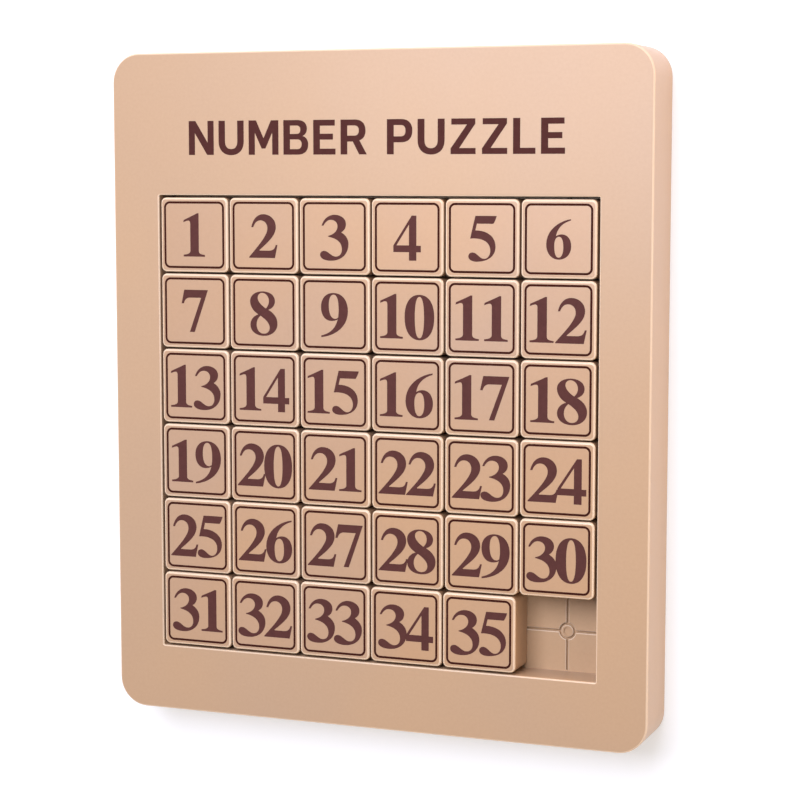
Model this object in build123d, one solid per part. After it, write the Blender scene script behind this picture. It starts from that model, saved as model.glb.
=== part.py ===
from build123d import *
import os

# A 6 x 6 sliding number puzzle with 35 magnetic tiles and one empty cell, lying on its back.
# +Z is out of the face, +Y is towards the title end, and the origin is the middle of the back.

# Cells and tiles
CELLS = 6
PITCH = 18.3
TILE = 17.85
TILE_H = 9.1
TILE_CORNER = 1.3
TILE_EDGE = 0.6
TILE_PROUD = 0.2
TILE_LIFT = 0.05
ROW_CREEP = 0.09
COLUMN_CREEP = 0.06

# Inside of a tile: a base plate let into the open underside, with a magnet under a post
CAVITY = 13.8
CAVITY_CORNER = 1.0
CAVITY_TOP = 1.8
BASE_SEAT = 14.8
BASE_T = 1.3
BASE_FIT = 0.04
CUP_D = 6.0
CUP_H = 2.0
POST_D = 4.0

# Magnets, the same in the tiles and in the tray
MAGNET_D = 4.0
MAGNET_T = 2.0
MAGNET_FIT = 0.02

# Front frame
FRAME_W = 135.0
FRAME_H = 160.4
FRAME_T = 15.8
FRAME_CORNER = 7.0
FRONT_EDGE = 0.5
BACK_EDGE = 0.4
SIDE_WALL = 2.2
FACE_T = 2.4
POCKET = 110.5
POCKET_Y = -9.0
POCKET_CORNER = 0.3
POCKET_EDGE = 0.4
POCKET_WALL = 1.6

# Tray floor
FLOOR_T = 3.4
LINE_W = 0.55
LINE_DEPTH = 0.8
LINE_LIP = 0.18
LINE_OVERLAP = 0.05
RING_D = 3.45
DOT_D = 1.8
DOT_DEPTH = 0.3

# Back cover, its screws and the bosses that they go into
COVER_T = 2.0
COVER_FIT = 0.1
SUPPORT_W = 1.2
SUPPORT_CELLS = (-2, 0, 2)
BOSS_D = 5.6
BOSS_Y = 73.0
PILOT_DEPTH = 8.0
STIFFENER_T = 1.2
STIFFENER_AT = 32.0
LOCATING_GAP = 0.1
SCREW_D = 2.2
SCREW_L = 8.5
SCREW_HEAD_D = 4.4
SCREW_HEAD_T = 1.1
SCREW_SUNK = 0.1
SCREW_FIT = 0.02
HOLE_FIT = 0.2
SLOT_W = 0.6
SLOT_L = 2.6
SLOT_DEPTH = 0.5

# Levels and places that follow from the above
TILE_TOP = FRAME_T + TILE_PROUD
TILE_BOTTOM = TILE_TOP - TILE_H
FLOOR_TOP = TILE_BOTTOM - TILE_LIFT
FLOOR_BOTTOM = FLOOR_TOP - FLOOR_T
FACE_UNDER = FRAME_T - FACE_T
WALL_OUTER = POCKET + 2 * POCKET_WALL
HOLLOW_W = FRAME_W - 2 * SIDE_WALL
HOLLOW_H = FRAME_H - 2 * SIDE_WALL
BOSS_X = (HOLLOW_W + WALL_OUTER) / 4
SCREW_PLACES = [(sx * BOSS_X, sy * BOSS_Y) for sx in (-1, 1) for sy in (-1, 0, 1)]


def cell_centre(row, column):
    """The middle of a cell. Row 0 is next to the title, and column 0 is at -X."""
    middle = (CELLS - 1) / 2
    return (column - middle) * PITCH, POCKET_Y + (middle - row) * PITCH


def rounded_block(width, height, corner, bottom, top):
    """A block on the XY origin with rounded upright edges, from bottom to top in Z."""
    outline = RectangleRounded(width, height, corner)
    return Pos(0, 0, bottom) * extrude(outline, top - bottom)


def disc(diameter, bottom, top):
    """An upright cylinder on the Z axis, from bottom to top."""
    return Pos(0, 0, (bottom + top) / 2) * Cylinder(diameter / 2, top - bottom)


def edges_at(shape, level):
    """The edges of a shape that lie flat at one height."""
    return shape.edges().filter_by_position(Axis.Z, level - 0.001, level + 0.001)


def frame_shell():
    """The outer skin of the frame: face and side walls, hollow behind."""
    skin = rounded_block(FRAME_W, FRAME_H, FRAME_CORNER, 0, FRAME_T)
    skin = fillet(edges_at(skin, FRAME_T), FRONT_EDGE)
    skin = fillet(edges_at(skin, 0), BACK_EDGE)
    return skin - rounded_block(HOLLOW_W, HOLLOW_H, FRAME_CORNER - SIDE_WALL, 0, FACE_UNDER)


def frame_stiffeners():
    """Ribs from the pocket walls to the side walls, which also locate the tray floor."""
    ribs = []
    inner = WALL_OUTER / 2 + LOCATING_GAP
    height = FACE_UNDER - FLOOR_BOTTOM
    level = (FACE_UNDER + FLOOR_BOTTOM) / 2
    side_length = HOLLOW_W / 2 - inner
    for side in (-1, 1):
        top_edge = HOLLOW_H / 2 - side * POCKET_Y
        end_length = top_edge - inner
        for at in (-STIFFENER_AT, STIFFENER_AT):
            side_x = side * (inner + side_length / 2)
            end_y = POCKET_Y + side * (inner + end_length / 2)
            ribs.append(Pos(side_x, POCKET_Y + at, level) * Box(side_length, STIFFENER_T, height))
            ribs.append(Pos(at, end_y, level) * Box(STIFFENER_T, end_length, height))
    return ribs


def rib_roots():
    """Short blocks that join each rib to the outside of the pocket wall above the tray floor."""
    roots = []
    reach = WALL_OUTER / 2
    height = FACE_UNDER - FLOOR_TOP
    level = (FACE_UNDER + FLOOR_TOP) / 2
    for side in (-1, 1):
        for at in (-STIFFENER_AT, STIFFENER_AT):
            roots.append(Pos(side * reach, POCKET_Y + at, level) * Box(1, STIFFENER_T, height))
            roots.append(Pos(at, POCKET_Y + side * reach, level) * Box(STIFFENER_T, 1, height))
    return roots


def pocket_rim(edge):
    """Whether an edge of the face belongs to the pocket and not to the outline."""
    middle = edge @ 0.5
    reach = POCKET / 2 + 0.01
    return abs(middle.X) < reach and abs(middle.Y - POCKET_Y) < reach


def front_frame():
    """Face, side walls, pocket walls, screw bosses and stiffeners in one moulding."""
    frame = frame_shell()
    walls = rounded_block(WALL_OUTER, WALL_OUTER, POCKET_CORNER + POCKET_WALL, FLOOR_TOP, FACE_UNDER)
    frame += Pos(0, POCKET_Y, 0) * walls
    frame += frame_stiffeners() + rib_roots()
    frame += [Pos(x, y, 0) * disc(BOSS_D, COVER_T, FACE_UNDER) for x, y in SCREW_PLACES]
    pocket = rounded_block(POCKET, POCKET, POCKET_CORNER, FLOOR_TOP, FRAME_T)
    frame -= Pos(0, POCKET_Y, 0) * pocket
    rim = edges_at(frame, FRAME_T).filter_by(pocket_rim)
    frame = fillet(rim, POCKET_EDGE)
    pilot = disc(SCREW_D + 2 * SCREW_FIT, COVER_T, COVER_T + PILOT_DEPTH)
    return frame - [Pos(x, y, 0) * pilot for x, y in SCREW_PLACES]


def groove_section():
    """The cross-section of an engraved line with bevelled lips, its mouth on the X axis."""
    half = LINE_W / 2
    lip = half + LINE_LIP
    left = [(-lip, 0), (-half, -LINE_LIP), (-half, -LINE_DEPTH)]
    right = [(-x, y) for x, y in reversed(left)]
    return Polygon(*left, *right, align=None)


def cell_marks():
    """The engraved marks of one cell: a ring, and an arm from it to the middle of each side."""
    inner = RING_D / 2
    outer = PITCH / 2 + LINE_OVERLAP
    bar = extrude(Plane.YZ * groove_section(), (outer - inner) / 2, both=True)
    arm = Pos((inner + outer) / 2, 0, 0) * bar
    ring = revolve(Plane.XZ * Pos(inner, 0) * groove_section(), Axis.Z)
    return ring + [Rot(0, 0, 90 * i) * arm for i in range(4)]


def tray_floor():
    """The panel that the tiles slide on, with engraved marks above and magnet seats below."""
    panel = Pos(0, POCKET_Y, (FLOOR_TOP + FLOOR_BOTTOM) / 2) * Box(WALL_OUTER, WALL_OUTER, FLOOR_T)
    seat = disc(MAGNET_D + 2 * MAGNET_FIT, FLOOR_BOTTOM, FLOOR_BOTTOM + MAGNET_T)
    dot = disc(DOT_D, FLOOR_TOP - DOT_DEPTH, FLOOR_TOP)
    marks = Pos(0, 0, FLOOR_TOP) * cell_marks()
    for row in range(CELLS):
        cutters = []
        for column in range(CELLS):
            x, y = cell_centre(row, column)
            cutters += [Pos(x, y, 0) * cutter for cutter in (seat, dot, marks)]
        panel -= cutters
    return panel


def tray_magnets():
    """One magnet in the underside of the tray floor for each cell."""
    magnet = disc(MAGNET_D, FLOOR_BOTTOM, FLOOR_BOTTOM + MAGNET_T)
    places = [cell_centre(r, c) for r in range(CELLS) for c in range(CELLS)]
    return [Pos(x, y, 0) * magnet for x, y in places]


def back_cover():
    """The rear panel, with a grid of ribs that holds the tray floor up against the frame."""
    width = HOLLOW_W - 2 * COVER_FIT
    height = HOLLOW_H - 2 * COVER_FIT
    cover = rounded_block(width, height, FRAME_CORNER - SIDE_WALL - COVER_FIT, 0, COVER_T)
    rise = FLOOR_BOTTOM - COVER_T
    level = (FLOOR_BOTTOM + COVER_T) / 2
    for cells in SUPPORT_CELLS:
        at = cells * PITCH
        cover += Pos(at, POCKET_Y, level) * Box(SUPPORT_W, WALL_OUTER, rise)
        cover += Pos(0, POCKET_Y + at, level) * Box(WALL_OUTER, SUPPORT_W, rise)
    hole = disc(SCREW_D + 2 * HOLE_FIT, 0, COVER_T)
    sink_bottom = SCREW_HEAD_D / 2 + SCREW_SUNK
    sink = Pos(0, 0, sink_bottom / 2) * Cone(sink_bottom, 0, sink_bottom)
    return cover - [Pos(x, y, 0) * cutter for x, y in SCREW_PLACES for cutter in (hole, sink)]


def cover_screws():
    """Countersunk screws with a cross recess, driven from behind."""
    cone_top = SCREW_SUNK + SCREW_HEAD_T
    head = Pos(0, 0, (SCREW_SUNK + cone_top) / 2) * Cone(SCREW_HEAD_D / 2, SCREW_D / 2, SCREW_HEAD_T)
    screw = head + disc(SCREW_D, cone_top, SCREW_SUNK + SCREW_L)
    recess_level = SCREW_SUNK + SLOT_DEPTH / 2
    screw -= Pos(0, 0, recess_level) * Box(SLOT_L, SLOT_W, SLOT_DEPTH)
    screw -= Pos(0, 0, recess_level) * Box(SLOT_W, SLOT_L, SLOT_DEPTH)
    return [Pos(x, y, 0) * screw for x, y in SCREW_PLACES]


def tile_cap():
    """The tile's top and four sides, with a post that holds the magnet down."""
    cap = rounded_block(TILE, TILE, TILE_CORNER, 0, TILE_H)
    cap = fillet(edges_at(cap, TILE_H), TILE_EDGE)
    cap -= rounded_block(CAVITY, CAVITY, CAVITY_CORNER, 0, TILE_H - CAVITY_TOP)
    cap -= rounded_block(BASE_SEAT, BASE_SEAT, CAVITY_CORNER, 0, BASE_T)
    return cap + disc(POST_D, BASE_T + MAGNET_T, TILE_H - CAVITY_TOP)


def tile_base():
    """The plate in the underside of a tile, with a cup for the magnet."""
    side = BASE_SEAT - 2 * BASE_FIT
    base = rounded_block(side, side, CAVITY_CORNER - BASE_FIT, 0, BASE_T)
    base += disc(CUP_D, BASE_T, BASE_T + CUP_H)
    return base - disc(MAGNET_D + 2 * MAGNET_FIT, BASE_T, BASE_T + CUP_H)


def tile_place(number):
    """Where a numbered tile rests: its cell, less the creep away from the empty cell."""
    row, column = divmod(number - 1, CELLS)
    x, y = cell_centre(row, column)
    last = CELLS - 1
    if row == last:
        x -= ROW_CREEP * (column + 1)
    if column == last:
        y += COLUMN_CREEP * row
    return Pos(x, y, TILE_BOTTOM)


def save(name, solids):
    """Write one node as a STEP file."""
    export_step(Compound(solids), f"parts/{name}.step")


def main():
    os.makedirs("parts", exist_ok=True)
    save("front_frame", front_frame().solids())
    save("tray_floor", tray_floor().solids())
    save("tray_magnets", tray_magnets())
    save("back_cover", back_cover().solids())
    save("cover_screws", cover_screws())
    pieces = [tile_cap(), tile_base(), disc(MAGNET_D, BASE_T, BASE_T + MAGNET_T)]
    for number in range(1, CELLS * CELLS):
        place = tile_place(number)
        save(f"tile_{number:02d}", [place * piece for piece in pieces])


main()
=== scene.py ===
import math

import bmesh
import bpy
from mathutils import Matrix, Vector
from mathutils.geometry import interpolate_bezier, tessellate_polygon


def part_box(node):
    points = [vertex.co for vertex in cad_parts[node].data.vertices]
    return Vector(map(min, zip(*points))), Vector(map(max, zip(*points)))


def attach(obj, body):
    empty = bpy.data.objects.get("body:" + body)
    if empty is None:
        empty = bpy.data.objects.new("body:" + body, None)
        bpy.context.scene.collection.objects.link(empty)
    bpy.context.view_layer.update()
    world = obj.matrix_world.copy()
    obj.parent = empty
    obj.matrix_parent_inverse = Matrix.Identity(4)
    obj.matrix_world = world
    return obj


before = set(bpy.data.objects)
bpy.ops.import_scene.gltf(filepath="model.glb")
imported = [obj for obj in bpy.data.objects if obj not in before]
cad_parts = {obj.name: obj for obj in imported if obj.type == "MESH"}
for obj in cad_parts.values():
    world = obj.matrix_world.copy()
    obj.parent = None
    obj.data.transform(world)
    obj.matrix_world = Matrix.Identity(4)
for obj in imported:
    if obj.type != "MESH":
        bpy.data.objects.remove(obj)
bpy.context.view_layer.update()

# A sliding number puzzle on a white table. Lengths are in metres, and the frame of reference is
# the puzzle's own: +Z out of its face, +Y towards its title, the origin in the middle of its back.
MM = 0.001
TILES = 35
TRAY = "tray"

# Numbers on the tiles: SMALL_NUMERALS are printed at a smaller scale, and OFF_CENTRE ones stand to
# the right of their tile's middle by so many millimetres, or to the left if it's negative.
NUMERAL_H = 10.5 * MM
SMALL_NUMERALS = {6: 0.86}
OFF_CENTRE = {5: 0.15, 15: -0.42, 16: -0.18, 17: 0.15, 18: 0.27, 25: -0.08}

# The border line on each tile, measured along the middle of the line
BORDER_HALF = 7.76 * MM
BORDER_W = 0.52 * MM
BORDER_CORNER = 1.25 * MM

# Ink is a film sunk into the plastic. A number's second digit is a step thicker than its first, so
# that two digits that touch don't share a face.
INK_SUNK = 0.02 * MM
INK_T = 0.015 * MM
INK_STEP = 0.005 * MM

# The title, whose middle line is this far above the first row of tiles
TITLE = "NUMBER PUZZLE"
TITLE_W = 94 * MM
TITLE_ABOVE_TILES = 14.2 * MM

# Letters and numerals are drawn on a height of 100, with gaps and advances on the same scale.
GLYPH_H = 100
NUMERAL_ADVANCE = 66.5
TITLE_GAP = 16
TITLE_SPACE = 46
CURVE_STEPS = 10
SAME_POINT = 1e-6

# Bold serif numerals, with the baseline at 0 and the middle at x = 0. M starts a contour, L is a
# straight line, C is a curve with two handles, and Z closes the contour.
NUMERALS = {
    "0": "M 0 98.5 C 22 98.5 35 80 35 48.5 C 35 16 21 -2 0 -2 C -21 -2 -35 16 -35 48.5 "
         "C -35 80 -22 98.5 0 98.5 Z M 0 94 C 8 94 11 74 11 48.5 C 11 22 8 2.5 0 2.5 "
         "C -8 2.5 -11 22 -11 48.5 C -11 74 -8 94 0 94 Z",
    "1": "M -27 79 L -26 84 C -15 89 -3 94 8 99.5 L 12 99.5 L 12 14 C 12 8 16 5.5 27.5 4.5 "
         "L 27.5 0.5 L -27 0.5 L -27 4.5 C -16 5.5 -9.5 8 -9.5 14 L -9.5 74 "
         "C -9.5 80 -11 82.5 -14 82.5 C -18 82.5 -22 80.5 -27 79 Z",
    "2": "M -30 69 C -26 86 -16 98.5 0 98.5 C 17 98.5 31 87 31 70 C 31 52 15 38 -10 17.5 "
         "L -9 16.5 L 12 16.5 C 22 16.5 28 19 30.5 29.5 L 35 29.5 L 28.5 0 L -35.5 0 L -35.5 2 "
         "C -22 17 -6 34 1 45 C 7 54 10 60 10 67 C 10 77 3 84.5 -7 84.5 C -15 84.5 -21 79.5 -25 69 Z",
    "3": "M -31 74 C -26 90 -13 98.5 0 98.5 C 16 98.5 28 90 28 78 C 28 69 23 63 16.5 59.5 "
         "C 27 54 34 45 34 34 C 34 12 18 -4 -9 -4 C -26 -4 -35 2 -35 9 C -35 14.5 -31 18 -25 18 "
         "C -15 18 -8 5.5 3 5.5 C 13 5.5 18 13 18 22 C 18 37 6 46 -15 49.5 L -15 51.5 "
         "C -3 54 7.5 62 7.5 73 C 7.5 81 1 87 -8 87 C -16 87 -21 83 -26.5 74 Z",
    "4": "M 9.5 98 L 20.5 98 L 20.5 32 L 31 32 L 31 17.5 L 20.5 17.5 L 20.5 -1 L 3 -1 L 3 17.5 "
         "L -34 17.5 L -34 32 Z M 3 78 L 3 32.5 L -26.5 32.5 Z",
    "5": "M -17 98.5 L 32 98.5 C 30 92 28 86 24 81.5 L -13.5 81.5 L -17 67 "
         "C 10 67.5 29.5 54 29.5 32 C 29.5 12 13 -1 -14 -1 C -26 -1 -33 4 -33 10 "
         "C -33 15.5 -29 19 -23 19 C -13 19 -7 5.5 3 5.5 C 12 5.5 17.5 14 17.5 23 "
         "C 17.5 40 3 50 -22 49.5 L -29 49 Z",
    "6": "M 32 100 C 0 95 -32 72 -32 37 C -32 14 -18 -1 0.5 -1 C 20 -1 33 13 33 32 "
         "C 33 50 23 62 9 62 C 3 62 -2 60.5 -6.5 57.5 C -4 74 8 90 32 96.5 Z "
         "M 0.5 4 C 8 4 12.5 14 12.5 30 C 12.5 46 8.5 56 1.5 56 C -6 56 -11 48 -11 34 "
         "C -11 14 -7 4 0.5 4 Z",
    "7": "M -27 98.5 L 33.5 98.5 L -1 1.5 L -13.5 1.5 L 16 80.5 L -12 80.5 "
         "C -20 80.5 -25 77 -28.5 67 L -34 67 Z",
    "8": "M -2 98.5 C 16 98.5 28.5 90 28.5 77 C 28.5 67 22 60 12 57 C 27 49 34.5 39 34.5 26 "
         "C 34.5 9 20 -2.5 0 -2.5 C -20 -2.5 -33 8 -33 22 C -33 33 -26 42 -13 46 "
         "C -26 53 -33.5 64 -33.5 76 C -33.5 89 -20 98.5 -2 98.5 Z "
         "M -3 95 C 6 95 13.5 87 13.5 77 C 13.5 70 10.5 64.5 5.5 60 C -6 67 -14.5 76 -14.5 84 "
         "C -14.5 90.5 -9 95 -3 95 Z M -7.5 43 C 7 34 15 26 15 16 C 15 8 9 2.5 0 2.5 "
         "C -10 2.5 -17.5 11 -17.5 23 C -17.5 31 -14 38 -7.5 43 Z",
    "9": "M -32 -1.5 C 6 3 33 26 33 58 C 33 83 19 98.5 -2 98.5 C -20 98.5 -32.5 86 -32.5 67 "
         "C -32.5 47 -22 35.5 -7 35.5 C -1 35.5 4 37 8 39.5 C 4 22 -8 8 -32 2.5 Z "
         "M -1.5 94.5 C 6 94.5 10.5 84 10.5 62 C 10.5 55 10 49 9 43.5 C 7 41.5 4.5 40.5 2 40.5 "
         "C -8 40.5 -13.5 52 -13.5 70 C -13.5 86 -9 94.5 -1.5 94.5 Z",
}

# Plain bold capitals for the title, drawn from x = 0, each with its width
CAPITALS = {
    "B": (79, "M 0 0 L 0 100 L 44 100 C 64 100 75 91 75 75 C 75 64 69 57 61 54 C 72 51 79 42 79 29 "
              "C 79 10 66 0 46 0 Z M 21 60 L 42 60 C 50 60 54 64 54 72 C 54 80 50 84 42 84 L 21 84 Z "
              "M 21 16 L 44 16 C 53 16 58 21 58 30 C 58 39 53 44 44 44 L 21 44 Z"),
    "E": (70, "M 0 0 L 0 100 L 68 100 L 68 83 L 21 83 L 21 60 L 62 60 L 62 43 L 21 43 L 21 17 "
              "L 70 17 L 70 0 Z"),
    "L": (66, "M 0 0 L 0 100 L 21 100 L 21 17 L 66 17 L 66 0 Z"),
    "M": (96, "M 0 0 L 0 100 L 24 100 L 48 48 L 72 100 L 96 100 L 96 0 L 76 0 L 76 64 L 54 18 "
              "L 42 18 L 20 64 L 20 0 Z"),
    "N": (82, "M 0 0 L 0 100 L 22 100 L 62 36 L 62 100 L 82 100 L 82 0 L 60 0 L 20 64 L 20 0 Z"),
    "P": (78, "M 0 0 L 0 100 L 44 100 C 66 100 78 88 78 67 C 78 46 66 34 44 34 L 21 34 L 21 0 Z "
              "M 21 51 L 42 51 C 52 51 57 56 57 67 C 57 78 52 83 42 83 L 21 83 Z"),
    "R": (82, "M 0 0 L 0 100 L 44 100 C 66 100 78 88 78 68 C 78 54 71 44 59 40 L 82 0 L 58 0 "
              "L 38 37 L 21 37 L 21 0 Z M 21 54 L 42 54 C 52 54 57 59 57 68.5 C 57 78 52 83 42 83 "
              "L 21 83 Z"),
    "U": (82, "M 0 100 L 21 100 L 21 40 C 21 25 28 17 41 17 C 54 17 61 25 61 40 L 61 100 L 82 100 "
              "L 82 40 C 82 14 66 -1 41 -1 C 16 -1 0 14 0 40 Z"),
    "Z": (78, "M 2 0 L 2 16 L 51 83 L 4 83 L 4 100 L 76 100 L 76 85 L 28 17 L 77 17 L 77 0 Z"),
}

# Camera: where it stands and the point of the face that it looks at, with +Y up in the picture. The
# lens and the sensor are in millimetres, as Blender has them.
CAMERA_AT = Vector((189.7, 51.6, 481.0)) * MM
CAMERA_AIM = Vector((7.4, -1.1, 16.0)) * MM
CAMERA_UP = Vector((0, 1, 0))
CAMERA_LENS = 96.9
SENSOR_W = 36.0
CLIP_START = 0.01

# Light boxes, which look at the origin with their height towards LIGHT_UP: place, width, height,
# power in watts and colour
KEY_LIGHT = (Vector((-35, 220, 500)) * MM, 400 * MM, 400 * MM, 3.76, (0.985, 0.965, 1.06))
SIDE_LIGHT = (Vector((210, 190, 45)) * MM, 100 * MM, 60 * MM, 0.13, (1.0, 0.58, 0.35))
FILL_LIGHT = (Vector((380, -60, 330)) * MM, 200 * MM, 200 * MM, 0.2, (1.0, 0.85, 0.65))
LIGHT_UP = Vector((0, 1, 0.01))

# The room: a bright band at the horizon that is whole up to one height and gone at another, given as
# the sine of the elevation
BAND_LIGHT = 2.5
ROOM_LIGHT = 0.2
BAND_FULL = 0.2
BAND_END = 0.4

# The table
TABLE_HALF = 6.0
TABLE_DROP = 0.05 * MM
TABLE_GLOW = 0.45

# Surface detail, in features per metre
DRIFT_SCALE = 22
WEAR_SCALE = 40
SPECK_SCALE = 1400
MOULD_SCALE = 2600
INK_COVER_SCALE = 900
INK_SHEEN_SCALE = 300
INK_GRAIN_SCALE = 3000
SCRATCH_SCALE = 900
TABLE_SCALE = 3

# Depth of the relief
MOULD_DEPTH = 0.02 * MM
INK_DEPTH = 0.01 * MM
SCRATCH_DEPTH = 0.01 * MM

# Painted highlight on rounded edges: how strongly a surface is lightened for the Z of its normal,
# from an upright wall to a flat face
PAINTED_HIGHLIGHT_STOPS = ((0.05, 0), (0.25, 1), (0.93, 1), (0.995, 0))

# How matt, glossy and rough to the touch the ink, the metals and the table are
INK_ROUGHNESS = (0.6, 0.7)
INK_GLOSS = 0.05
INK_GRAIN = 0.1
SCRATCHES = 0.25
TABLE_ROUGHNESS = 0.8
TABLE_GLOSS = 0.1


def srgb(red, green, blue):
    """A colour given as 0 to 255 on screen, as linear light with alpha."""
    channels = [c / 255 for c in (red, green, blue)]
    return [c / 12.92 if c <= 0.04045 else ((c + 0.055) / 1.055) ** 2.4 for c in channels] + [1.0]


# The plastic between its specks, and the pale colour painted on its rounded edges as a highlight, in
# linear light
WHITE = srgb(255, 255, 255)
# A painted highlight: the colour laid on rounded edges in place of the light that catches them
PAINTED_HIGHLIGHT_COLOUR = (0.88, 0.77, 0.63, 1.0)


# --- Materials ---------------------------------------------------------------------------------


def new_material(name):
    """A node material with a Principled shader and object coordinates."""
    material = bpy.data.materials.new(name)
    material.use_nodes = True
    nodes = material.node_tree.nodes
    shader = nodes["Principled BSDF"]
    coords = nodes.new("ShaderNodeTexCoord")
    return material, material.node_tree, shader, coords.outputs["Object"]


def noise(tree, coords, scale, detail, roughness=0.5):
    """A noise texture whose scale is in features per metre."""
    node = tree.nodes.new("ShaderNodeTexNoise")
    node.inputs["Scale"].default_value = scale
    node.inputs["Detail"].default_value = detail
    node.inputs["Roughness"].default_value = roughness
    tree.links.new(coords, node.inputs["Vector"])
    return node.outputs["Fac"]


def ramp(tree, value, low, high, start=0.2, end=0.8):
    """A colour between low and high as value goes from start to end."""
    node = tree.nodes.new("ShaderNodeValToRGB")
    node.color_ramp.elements[0].position = start
    node.color_ramp.elements[1].position = end
    node.color_ramp.elements[0].color = low
    node.color_ramp.elements[1].color = high
    tree.links.new(value, node.inputs["Fac"])
    return node.outputs["Color"]


def multiplied(tree, first, second):
    """Two colours multiplied together."""
    node = tree.nodes.new("ShaderNodeMix")
    node.data_type = "RGBA"
    node.blend_type = "MULTIPLY"
    node.inputs["Factor"].default_value = 1.0
    tree.links.new(first, node.inputs["A"])
    tree.links.new(second, node.inputs["B"])
    return node.outputs["Result"]


def painted(tree, mask, amount, below, colour):
    """A fixed colour laid over another where the mask is 1, as thickly as amount says."""
    strength = tree.nodes.new("ShaderNodeMath")
    strength.operation = "MULTIPLY"
    strength.inputs[1].default_value = amount
    tree.links.new(mask, strength.inputs[0])
    node = tree.nodes.new("ShaderNodeMix")
    node.data_type = "RGBA"
    node.inputs["B"].default_value = colour
    tree.links.new(strength.outputs["Value"], node.inputs["Factor"])
    tree.links.new(below, node.inputs["A"])
    return node.outputs["Result"]


def spread(tree, value, low, high, start=0.1, end=0.9):
    """A number between low and high as value goes from start to end."""
    node = tree.nodes.new("ShaderNodeMapRange")
    node.inputs["From Min"].default_value = start
    node.inputs["From Max"].default_value = end
    node.inputs["To Min"].default_value = low
    node.inputs["To Max"].default_value = high
    tree.links.new(value, node.inputs["Value"])
    return node.outputs["Result"]


def bump(tree, shader, height, distance, strength):
    """Relief from a height map, distance metres deep."""
    node = tree.nodes.new("ShaderNodeBump")
    node.inputs["Distance"].default_value = distance
    node.inputs["Strength"].default_value = strength
    tree.links.new(height, node.inputs["Height"])
    tree.links.new(node.outputs["Normal"], shader.inputs["Normal"])


def edge_mask(tree):
    """Where the painted highlight goes: 1 on the rounded edges that face up and outwards, and 0 on
    flat faces and upright walls.
    """
    coords = tree.nodes.new("ShaderNodeTexCoord")
    split = tree.nodes.new("ShaderNodeSeparateXYZ")
    band = tree.nodes.new("ShaderNodeValToRGB")
    stops = band.color_ramp.elements
    while len(stops) < len(PAINTED_HIGHLIGHT_STOPS):
        stops.new(1.0)
    for stop, (position, level) in zip(stops, PAINTED_HIGHLIGHT_STOPS):
        stop.position = position
        stop.color = (level, level, level, 1)
    tree.links.new(coords.outputs["Normal"], split.inputs["Vector"])
    tree.links.new(split.outputs["Z"], band.inputs["Fac"])
    return band.outputs["Color"]


def tan_plastic(name, cool, warm, gloss, roughness, grain, painted_highlight):
    """Wood-coloured moulded plastic with slow drifts of tone, fine speckle, a fine mould texture and
    a highlight painted in a paler colour on its rounded edges, laid on as thickly as the last
    argument says. Roughness is a lowest and a highest."""
    material, tree, shader, coords = new_material(name)
    drift = ramp(tree, noise(tree, coords, DRIFT_SCALE, detail=2), cool, warm)
    speck = ramp(tree, noise(tree, coords, SPECK_SCALE, detail=2), srgb(250, 249, 248), WHITE)
    body = multiplied(tree, drift, speck)
    # The rounded edges get a painted highlight: a paler colour that stands in for the light on them
    colour = painted(tree, edge_mask(tree), painted_highlight, body, PAINTED_HIGHLIGHT_COLOUR)
    tree.links.new(colour, shader.inputs["Base Color"])
    worn = noise(tree, coords, WEAR_SCALE, detail=2)
    tree.links.new(spread(tree, worn, *roughness), shader.inputs["Roughness"])
    shader.inputs["Specular IOR Level"].default_value = gloss
    mould = noise(tree, coords, MOULD_SCALE, detail=3, roughness=0.6)
    bump(tree, shader, mould, MOULD_DEPTH, grain)
    return material


def ink(name, thin, full):
    """Screen-printed matt ink, a little uneven where it lies thin."""
    material, tree, shader, coords = new_material(name)
    cover = noise(tree, coords, INK_COVER_SCALE, detail=3)
    tree.links.new(ramp(tree, cover, thin, full), shader.inputs["Base Color"])
    sheen = noise(tree, coords, INK_SHEEN_SCALE, detail=2)
    tree.links.new(spread(tree, sheen, *INK_ROUGHNESS), shader.inputs["Roughness"])
    shader.inputs["Specular IOR Level"].default_value = INK_GLOSS
    grain = noise(tree, coords, INK_GRAIN_SCALE, detail=2)
    bump(tree, shader, grain, INK_DEPTH, INK_GRAIN)
    return material


def plated_metal(name, dull, bright, roughness, brush):
    """Plated metal with fine scratches, which run along X when brush is above 1. Roughness is a
    lowest and a highest."""
    material, tree, shader, coords = new_material(name)
    stretch = tree.nodes.new("ShaderNodeMapping")
    stretch.inputs["Scale"].default_value = (1, brush, 1)
    tree.links.new(coords, stretch.inputs["Vector"])
    lines = noise(tree, stretch.outputs["Vector"], SCRATCH_SCALE, detail=4)
    tree.links.new(ramp(tree, lines, dull, bright), shader.inputs["Base Color"])
    tree.links.new(spread(tree, lines, *roughness), shader.inputs["Roughness"])
    shader.inputs["Metallic"].default_value = 1.0
    bump(tree, shader, lines, SCRATCH_DEPTH, SCRATCHES)
    return material


def white_table():
    """The table that the puzzle lies on: white acrylic, softly lit from below."""
    material, tree, shader, coords = new_material("white_table")
    cloud = noise(tree, coords, TABLE_SCALE, detail=2)
    tone = ramp(tree, cloud, srgb(203, 209, 217), srgb(206, 211, 219))
    tree.links.new(tone, shader.inputs["Base Color"])
    shader.inputs["Roughness"].default_value = TABLE_ROUGHNESS
    shader.inputs["Specular IOR Level"].default_value = TABLE_GLOSS
    shader.inputs["Emission Color"].default_value = (0.98, 0.99, 1.0, 1.0)
    shader.inputs["Emission Strength"].default_value = TABLE_GLOW
    return material


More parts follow.
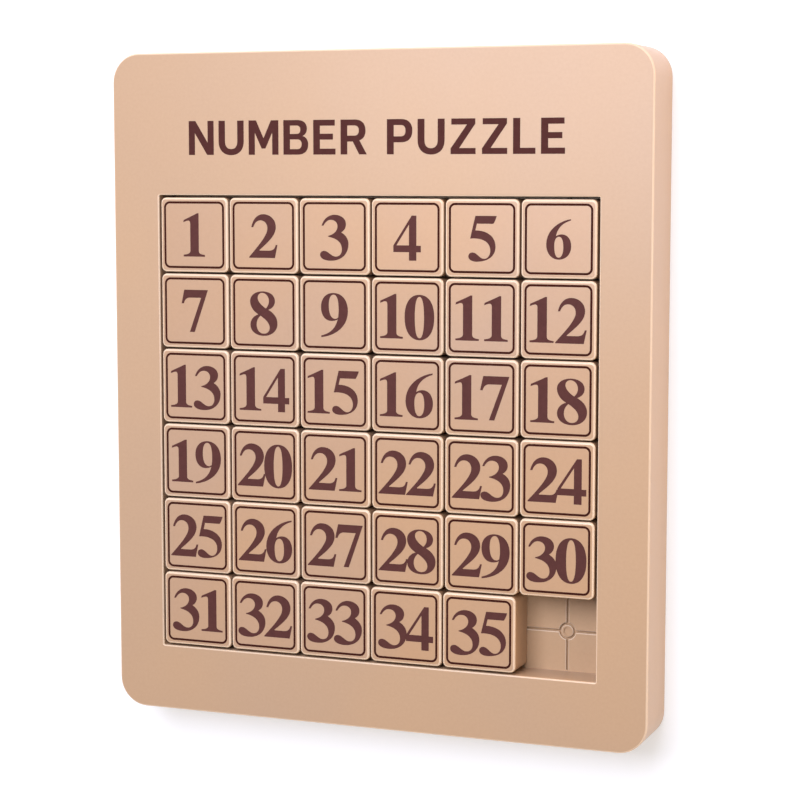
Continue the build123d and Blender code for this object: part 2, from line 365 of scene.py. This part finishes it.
def dress_cad_nodes():
    """Gives each CAD node its finished material."""
    # Each plastic's last number is how strongly a highlight is painted on its rounded edges
    tile_plastic = tan_plastic(
        "tile_plastic", srgb(176, 150, 130), srgb(186, 150, 114),
        gloss=0.6, roughness=(0.29, 0.35), grain=0.08, painted_highlight=0.6,
    )
    materials = {
        "front_frame": tan_plastic(
            "frame_plastic", srgb(181, 155, 131), srgb(187, 157, 127),
            gloss=0.4, roughness=(0.29, 0.35), grain=0.1, painted_highlight=0.45,
        ),
        "tray_floor": tan_plastic(
            "floor_plastic", srgb(182, 153, 123), srgb(187, 156, 125),
            gloss=0.4, roughness=(0.32, 0.38), grain=0.1, painted_highlight=0.5,
        ),
        "back_cover": tan_plastic(
            "cover_plastic", srgb(181, 152, 131), srgb(187, 155, 130),
            gloss=0.4, roughness=(0.42, 0.48), grain=0.4, painted_highlight=0.3,
        ),
        "tray_magnets": plated_metal(
            "nickel", srgb(176, 172, 164), srgb(214, 210, 202), roughness=(0.29, 0.43), brush=1,
        ),
        "cover_screws": plated_metal(
            "screw_steel", srgb(150, 148, 143), srgb(198, 196, 190), roughness=(0.31, 0.45), brush=6,
        ),
    }
    for node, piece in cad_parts.items():
        for material_slot in piece.material_slots:
            material_slot.material = materials.get(node, tile_plastic)


# --- Printing ----------------------------------------------------------------------------------


def contours(path):
    """The closed outlines that a path string describes, each as a list of points."""
    words = path.split()
    found, points, i = [], [], 0
    while i < len(words):
        command = words[i]
        count = {"M": 2, "L": 2, "C": 6, "Z": 0}[command]
        numbers = [float(w) for w in words[i + 1:i + 1 + count]]
        i += 1 + count
        pairs = [Vector(pair).to_3d() for pair in zip(numbers[::2], numbers[1::2])]
        if command == "C":
            points += interpolate_bezier(points[-1], *pairs, CURVE_STEPS + 1)[1:]
        elif command == "Z":
            found.append(without_repeat(points))
            points = []
        else:
            points += pairs
    return found


def without_repeat(points):
    """The points of a closed outline, less a last one that repeats the first."""
    return points[:-1] if (points[0] - points[-1]).length < SAME_POINT else points


def rounded_square(half, corner):
    """The outline of a square with rounded corners, centred on the origin."""
    points = []
    for quarter in range(4):
        turn = Matrix.Rotation(quarter * math.pi / 2, 3, "Z")
        centre = Vector((half - corner, half - corner, 0))
        for step in range(CURVE_STEPS + 1):
            angle = step / CURVE_STEPS * math.pi / 2
            points.append(turn @ (centre + corner * Vector((math.cos(angle), math.sin(angle), 0))))
    return points


def placed(outlines, x, y, scale=1):
    """Outlines scaled and moved in their own plane."""
    return [[p * scale + Vector((x, y, 0)) for p in outline] for outline in outlines]


def span(outlines):
    """The lowest and highest x of some outlines."""
    xs = [p.x for outline in outlines for p in outline]
    return min(xs), max(xs)


def add_film(mesh, outlines, level, thickness, material_index=0):
    """Adds a closed film of ink: an outline, less the outlines inside it, from level upwards."""
    flat = [p for outline in outlines for p in outline]
    low = [mesh.verts.new((p.x, p.y, level)) for p in flat]
    high = [mesh.verts.new((p.x, p.y, level + thickness)) for p in flat]
    faces = []
    for a, b, c in tessellate_polygon(outlines):
        faces.append(mesh.faces.new((high[a], high[b], high[c])))
        faces.append(mesh.faces.new((low[c], low[b], low[a])))
    start = 0
    for outline in outlines:
        count = len(outline)
        for i in range(count):
            a, b = start + i, start + (i + 1) % count
            faces.append(mesh.faces.new((low[a], low[b], high[b], high[a])))
        start += count
    for face in faces:
        face.material_index = material_index


def finish_print(name, mesh, materials, body):
    """Turns a printed mesh into a piece of ink that rides on a body."""
    bmesh.ops.recalc_face_normals(mesh, faces=mesh.faces)
    data = bpy.data.meshes.new(name)
    mesh.to_mesh(data)
    mesh.free()
    for material in materials:
        data.materials.append(material)
    piece = bpy.data.objects.new(name, data)
    bpy.context.scene.collection.objects.link(piece)
    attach(piece, body)


def numeral_outlines(number):
    """One list of outlines for each digit, with the whole number centred on the origin."""
    digits = [
        placed(contours(NUMERALS[digit]), place * NUMERAL_ADVANCE, 0)
        for place, digit in enumerate(str(number))
    ]
    lows, highs = zip(*[span(outlines) for outlines in digits])
    middle = (min(lows) + max(highs)) / 2
    return [placed(outlines, -middle, -GLYPH_H / 2) for outlines in digits]


def border_outlines():
    """The outer and inner outline of the border line, centred on the origin."""
    half_line = BORDER_W / 2
    return [
        rounded_square(BORDER_HALF + half_line, BORDER_CORNER + half_line),
        rounded_square(BORDER_HALF - half_line, BORDER_CORNER - half_line),
    ]


def print_tile(number, numeral_ink, line_ink):
    """The border line and the number on one tile."""
    low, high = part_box(f"tile_{number:02d}")
    x, y = (low.x + high.x) / 2, (low.y + high.y) / 2
    level = high.z - INK_SUNK
    mesh = bmesh.new()
    border = placed(border_outlines(), x, y)
    add_film(mesh, border, level, INK_SUNK + INK_T, material_index=1)
    scale = NUMERAL_H / GLYPH_H * SMALL_NUMERALS.get(number, 1)
    x += OFF_CENTRE.get(number, 0) * MM
    for place, outlines in enumerate(numeral_outlines(number)):
        thickness = INK_SUNK + INK_T + place * INK_STEP
        add_film(mesh, placed(outlines, x, y, scale), level, thickness)
    body = f"number_tile_{number:02d}"
    finish_print(f"print_{number:02d}", mesh, [numeral_ink, line_ink], body)


def title_letters():
    """The title's outlines, letter by letter from x = 0, and its whole width."""
    letters, at = [], 0
    for letter in TITLE:
        if letter == " ":
            at += TITLE_SPACE
            continue
        width, path = CAPITALS[letter]
        letters.append(placed(contours(path), at, 0))
        at += width + TITLE_GAP
    return letters, at - TITLE_GAP


def print_title(title_ink):
    """The title on the frame's face, above the pocket."""
    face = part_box("front_frame")[1].z
    tiles_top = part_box("tile_01")[1].y
    letters, width = title_letters()
    scale = TITLE_W / width
    baseline = tiles_top + TITLE_ABOVE_TILES - GLYPH_H / 2 * scale
    mesh = bmesh.new()
    for outlines in letters:
        moved = placed(outlines, -TITLE_W / 2, baseline, scale)
        add_film(mesh, moved, face - INK_SUNK, INK_SUNK + INK_T)
    finish_print("print_title", mesh, [title_ink], TRAY)


def print_all():
    """Everything that is printed on the puzzle."""
    numeral_ink = ink("numeral_ink", srgb(86, 53, 51), srgb(78, 48, 46))
    line_ink = ink("line_ink", srgb(60, 26, 20), srgb(52, 21, 16))
    title_ink = ink("title_ink", srgb(76, 43, 41), srgb(69, 38, 36))
    for number in range(1, TILES + 1):
        print_tile(number, numeral_ink, line_ink)
    print_title(title_ink)


# --- Studio ------------------------------------------------------------------------------------


def table_top():
    """A large white table, a hair below the puzzle."""
    mesh = bmesh.new()
    bmesh.ops.create_grid(mesh, x_segments=8, y_segments=8, size=TABLE_HALF)
    data = bpy.data.meshes.new("table_top")
    mesh.to_mesh(data)
    mesh.free()
    data.materials.append(white_table())
    table = bpy.data.objects.new("table_top", data)
    table.location.z = -TABLE_DROP
    bpy.context.scene.collection.objects.link(table)


def aimed(at, target, up):
    """The matrix of a camera or light at a place, looking at a target, with an up direction."""
    back = (at - target).normalized()
    right = up.cross(back).normalized()
    matrix = Matrix((right, back.cross(right), back)).transposed().to_4x4()
    matrix.translation = at
    return matrix


def softbox(name, at, width, height, power, colour):
    """A rectangular area light that looks at the puzzle and doesn't show in the picture."""
    light = bpy.data.lights.new(name, "AREA")
    light.shape = "RECTANGLE"
    light.size = width
    light.size_y = height
    light.energy = power
    light.color = colour
    lamp = bpy.data.objects.new(name, light)
    lamp.matrix_world = aimed(at, Vector((0, 0, 0)), LIGHT_UP)
    lamp.visible_camera = False
    bpy.context.scene.collection.objects.link(lamp)


def surroundings():
    """A dim white room with a bright warm band of light round its horizon, for the edges."""
    world = bpy.data.worlds.new("studio")
    world.use_nodes = True
    tree = world.node_tree
    coords = tree.nodes.new("ShaderNodeTexCoord")
    split = tree.nodes.new("ShaderNodeSeparateXYZ")
    height = tree.nodes.new("ShaderNodeMapRange")
    height.interpolation_type = "SMOOTHSTEP"
    height.inputs["From Min"].default_value = BAND_FULL
    height.inputs["From Max"].default_value = BAND_END
    height.inputs["To Min"].default_value = BAND_LIGHT
    height.inputs["To Max"].default_value = ROOM_LIGHT
    tree.links.new(coords.outputs["Generated"], split.inputs["Vector"])
    tree.links.new(split.outputs["Z"], height.inputs["Value"])
    warm, neutral = srgb(255, 214, 170), srgb(255, 254, 252)
    tint = ramp(tree, split.outputs["Z"], warm, neutral, BAND_FULL, BAND_END)
    background = tree.nodes["Background"]
    tree.links.new(height.outputs["Result"], background.inputs["Strength"])
    tree.links.new(tint, background.inputs["Color"])
    bpy.context.scene.world = world


def studio():
    """The room, a large key light above the title end, and two smaller warm ones at the right."""
    surroundings()
    softbox("key", *KEY_LIGHT)
    softbox("side", *SIDE_LIGHT)
    softbox("fill", *FILL_LIGHT)


def camera():
    """The camera, at the height and side from which the puzzle is seen."""
    data = bpy.data.cameras.new("camera")
    data.lens = CAMERA_LENS
    data.sensor_width = SENSOR_W
    data.clip_start = CLIP_START
    view = bpy.data.objects.new("camera", data)
    view.matrix_world = aimed(CAMERA_AT, CAMERA_AIM, CAMERA_UP)
    bpy.context.scene.collection.objects.link(view)
    bpy.context.scene.camera = view


bpy.context.scene.view_settings.view_transform = "Standard"
camera()
studio()
table_top()
dress_cad_nodes()
print_all()
